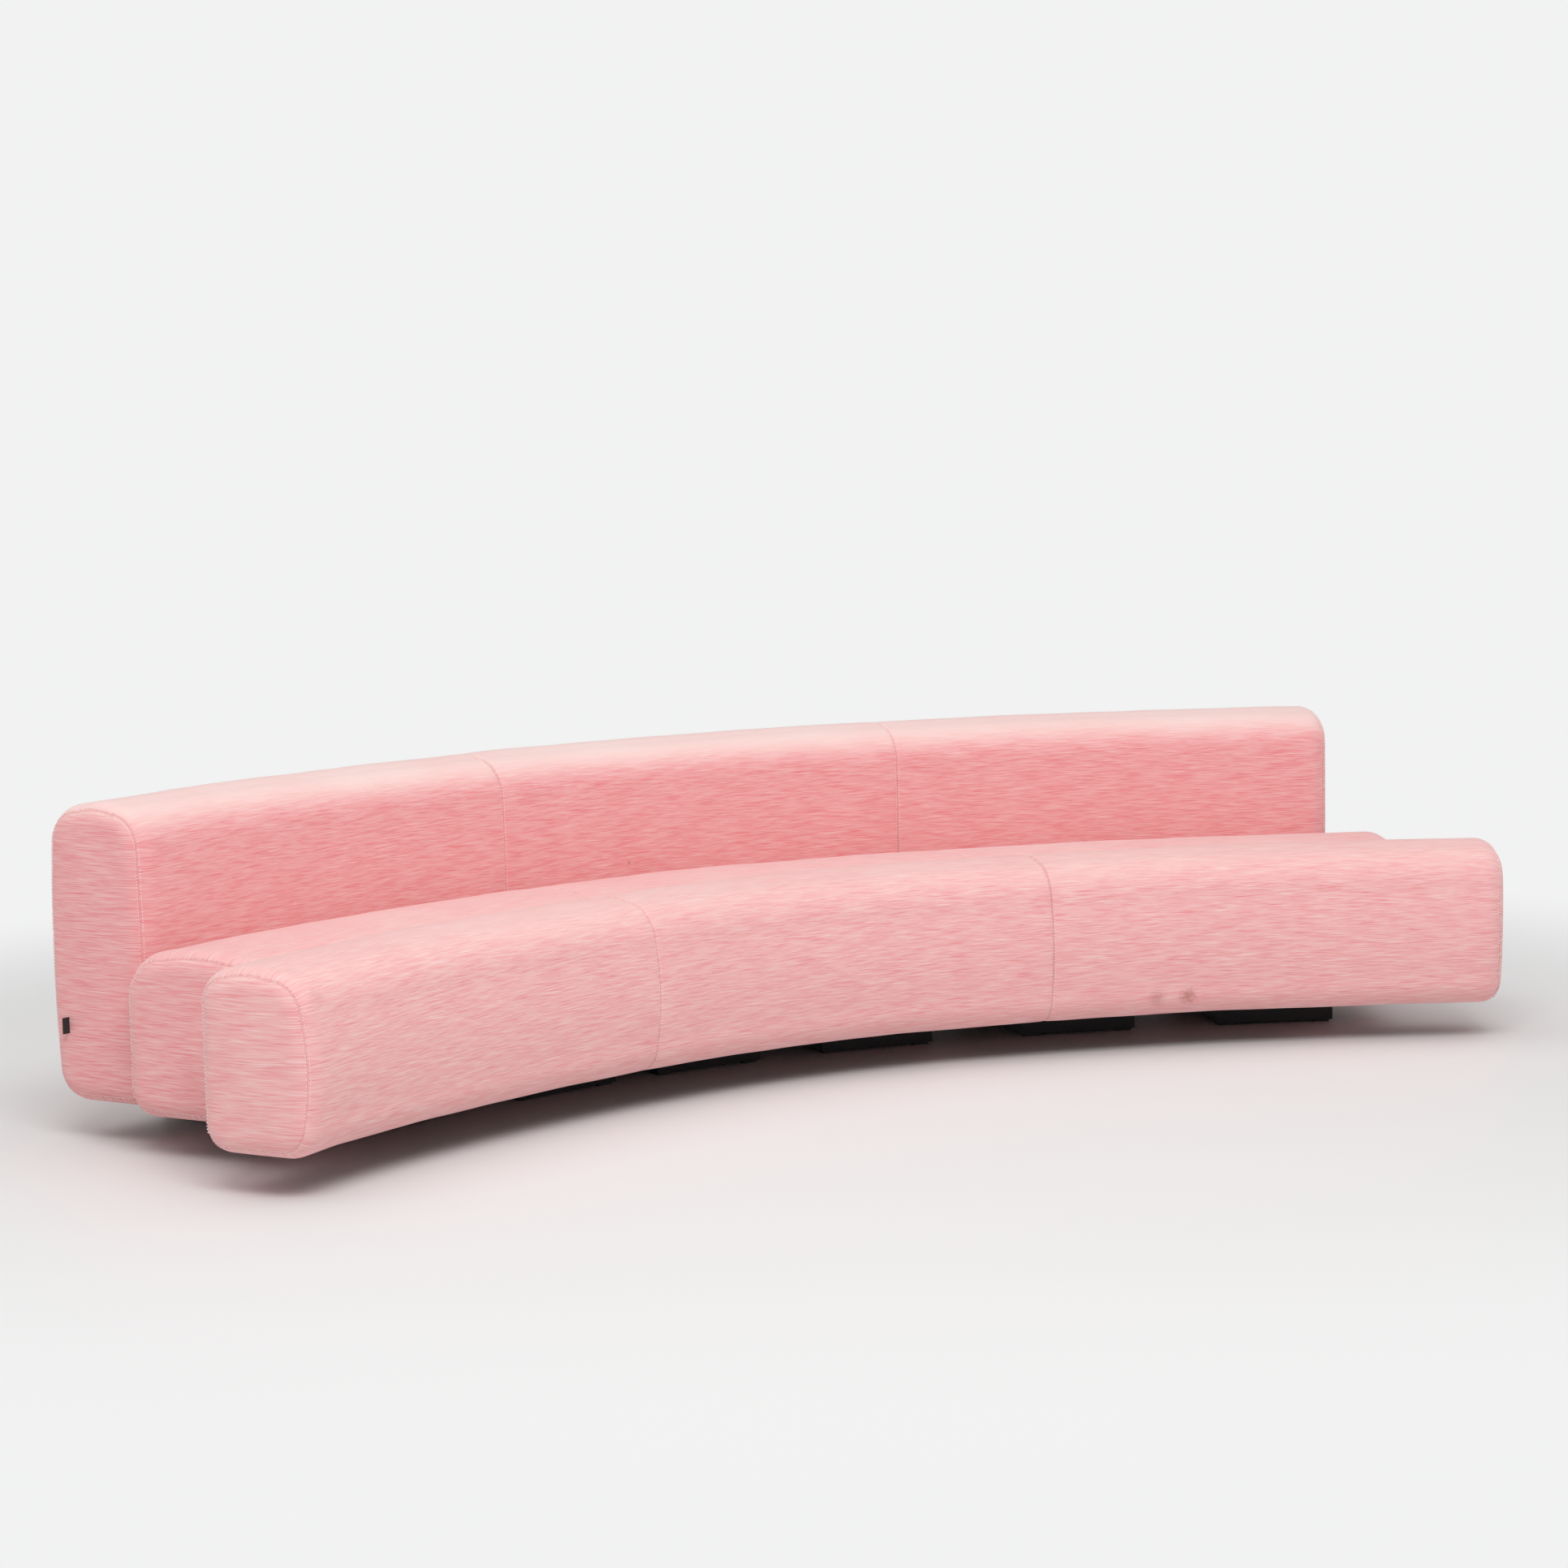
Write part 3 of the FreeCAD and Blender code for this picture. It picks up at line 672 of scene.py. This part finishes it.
def fabric_material():
    """Melange stretch weave: pale and deep pink yarns, with painted light on the tops, painted shade on the
    rows behind and in the seams' creases, and spots of wear on them.
    """
    material, tree, shader = new_material("pink_melange")
    cloth = tree.nodes.new("ShaderNodeUVMap")
    cloth.uv_map = "cloth"
    uv = cloth.outputs["UV"]
    where = tree.nodes.new("ShaderNodeTexCoord").outputs["Object"]
    flat = separated(tree, uv)
    thick = yarns(tree, flat, *THICK_YARNS)
    thin = yarns(tree, flat, *THIN_YARNS)
    dye = ramp(tree, weighted(tree, thick, THICK_SHARE, thin, THIN_SHARE), *DYE_RANGE)
    # The yarns' dye, with painted shade added on the rows behind
    share = math_node(tree, "ADD", dye, attribute(tree, "painted_row_shade"), clamp=True)
    # Painted light: tops painted paler, the backrest's top most of all
    colour = painted_top_light(tree, where, mix(tree, share, FABRIC_PALE, FABRIC_DEEP))
    for spot, radius, strength in STAINS:
        colour = stained(tree, where, colour, spot, radius, strength)
    # Painted shade along the seams' creases
    seam_shading = math_node(tree, "MULTIPLY", attribute(tree, "seam_shade"), SEAM_SHADE_SHARE)
    colour = mix(tree, seam_shading, colour, FABRIC_SEAM_SHADE)
    link(tree, colour, shader.inputs["Base Color"])
    set_inputs(shader, {
        "Roughness": 0.95, "Specular IOR Level": 0.12,
        "Sheen Weight": 0.40, "Sheen Roughness": 0.6, "Sheen Tint": FABRIC_SHEEN,
    })
    dents = noise(tree, stretched(tree, uv, WEAVE_DENTS), scale=1.0, detail=1.0)
    add_bump(tree, shader, weighted(tree, dents, DENT_SHARE, thick, YARN_SHARE), *WEAVE_BUMP)
    return material


def thread_material():
    material, tree, shader = new_material("pale_thread")
    where = tree.nodes.new("ShaderNodeTexCoord").outputs["Object"]
    shade = noise(tree, where, THREAD_GRAINS)
    link(tree, mix(tree, shade, THREAD_DARK, THREAD_PALE), shader.inputs["Base Color"])
    set_inputs(shader, {"Roughness": 0.8})
    return material


def grained_material(name, dark, pale, grains, roughness):
    """A hard or woven surface with a fine grain."""
    material, tree, shader = new_material(name)
    where = tree.nodes.new("ShaderNodeTexCoord").outputs["Object"]
    grain = noise(tree, stretched(tree, where, grains), scale=1.0, detail=4.0, rough=0.6)
    link(tree, mix(tree, grain, dark, pale), shader.inputs["Base Color"])
    set_inputs(shader, {"Roughness": roughness})
    add_bump(tree, shader, grain, *GRAIN_BUMP)
    return material


def slot_of(name):
    """The material slot of a node that shows as it is."""
    if name.startswith("plinth"):
        return "plinth"
    if name.endswith("dust_cloth"):
        return "underside_cloth"
    return {"glides": "glide", "seat_bands": "webbing"}.get(name, "frame_wood")


def dress_nodes(finishes):
    for name, node in nodes.items():
        if "cushion" in name or name == "fabric_tag":
            continue
        slot = slot_of(name)
        node.data.materials.clear()
        node.data.materials.append(finishes[slot])


# Camera, floor and light

def add_camera():
    data = bpy.data.cameras.new("camera")
    camera = bpy.data.objects.new("camera", data)
    bpy.context.scene.collection.objects.link(camera)
    level = math.cos(CAMERA_PITCH)
    forward = Vector((math.sin(CAMERA_YAW) * level, math.cos(CAMERA_YAW) * level, -math.sin(CAMERA_PITCH)))
    right = Vector((math.cos(CAMERA_YAW), -math.sin(CAMERA_YAW), 0.0))
    up = right.cross(forward)
    turned_right = right * math.cos(CAMERA_ROLL) + up * math.sin(CAMERA_ROLL)
    turned_up = up * math.cos(CAMERA_ROLL) - right * math.sin(CAMERA_ROLL)
    turn = Matrix((turned_right, turned_up, -forward)).transposed().to_4x4()
    camera.matrix_world = Matrix.Translation(Vector(CAMERA_PLACE)) @ turn
    data.sensor_width = SENSOR
    data.lens = FOCAL_PIXELS * SENSOR / PHOTO_PIXELS
    data.shift_x = (PHOTO_PIXELS / 2 - MIDDLE_PIXEL[0]) / PHOTO_PIXELS
    data.shift_y = (MIDDLE_PIXEL[1] - PHOTO_PIXELS / 2) / PHOTO_PIXELS
    data.clip_end = FARTHEST
    bpy.context.scene.camera = camera


def add_floor():
    """A pale floor that fades into the backdrop away from the sofa."""
    bpy.ops.mesh.primitive_plane_add(size=FLOOR_SIZE, location=(0.0, 0.0, 0.0))
    floor = bpy.context.object
    floor.name = "floor"
    material, tree, shader = new_material("studio_floor")
    where = tree.nodes.new("ShaderNodeTexCoord").outputs["Object"]
    clouds = noise(tree, where, FLOOR_CLOUDS)
    link(tree, mix(tree, clouds, FLOOR_DARK, FLOOR_LIGHT), shader.inputs["Base Color"])
    set_inputs(shader, {"Roughness": 0.5, "Specular IOR Level": 0.25})
    away = tree.nodes.new("ShaderNodeVectorMath")
    away.operation = "LENGTH"
    link(tree, where, away.inputs[0])
    glow = tree.nodes.new("ShaderNodeEmission")
    set_inputs(glow, {"Color": BACKDROP})
    both = tree.nodes.new("ShaderNodeMixShader")
    link(tree, ramp(tree, away.outputs["Value"], *FLOOR_FADE), both.inputs[0])
    link(tree, shader.outputs["BSDF"], both.inputs[1])
    link(tree, glow.outputs["Emission"], both.inputs[2])
    link(tree, both.outputs["Shader"], tree.nodes["Material Output"].inputs["Surface"])
    floor.data.materials.append(material)


def add_light(name, spot, aim, size, power):
    data = bpy.data.lights.new(name, "AREA")
    data.shape = "RECTANGLE"
    data.size, data.size_y = size
    data.energy = power
    lamp = bpy.data.objects.new(name, data)
    lamp.location = spot
    lamp.rotation_euler = (Vector(aim) - Vector(spot)).to_track_quat("-Z", "Y").to_euler()
    bpy.context.scene.collection.objects.link(lamp)


def add_world():
    """Soft light from all sides, and the pale backdrop behind the floor."""
    world = bpy.data.worlds.new("studio")
    bpy.context.scene.world = world
    world.use_nodes = True
    tree = world.node_tree
    lit = tree.nodes["Background"]
    set_inputs(lit, {"Color": SURROUNDINGS, "Strength": SURROUNDINGS_STRENGTH})
    seen = tree.nodes.new("ShaderNodeBackground")
    set_inputs(seen, {"Color": BACKDROP, "Strength": 1.0})
    ray = tree.nodes.new("ShaderNodeLightPath")
    both = tree.nodes.new("ShaderNodeMixShader")
    link(tree, ray.outputs["Is Camera Ray"], both.inputs[0])
    link(tree, lit.outputs["Background"], both.inputs[1])
    link(tree, seen.outputs["Background"], both.inputs[2])
    link(tree, both.outputs["Shader"], tree.nodes["World Output"].inputs["Surface"])


# The sofa
fabric = fabric_material()
thread = thread_material()
finishes = {slot: grained_material(*finish) for slot, finish in FINISHES.items()}
for row in ROWS:
    for side in SIDES:
        cover(row, side, fabric)
    stitches(row, thread)
folded_tag(finishes["tag"])
dress_nodes(finishes)

# The studio
add_camera()
add_floor()
add_world()
for name, lamp in LAMPS.items():
    add_light(name, *lamp)
bpy.context.scene.view_settings.view_transform = "Standard"
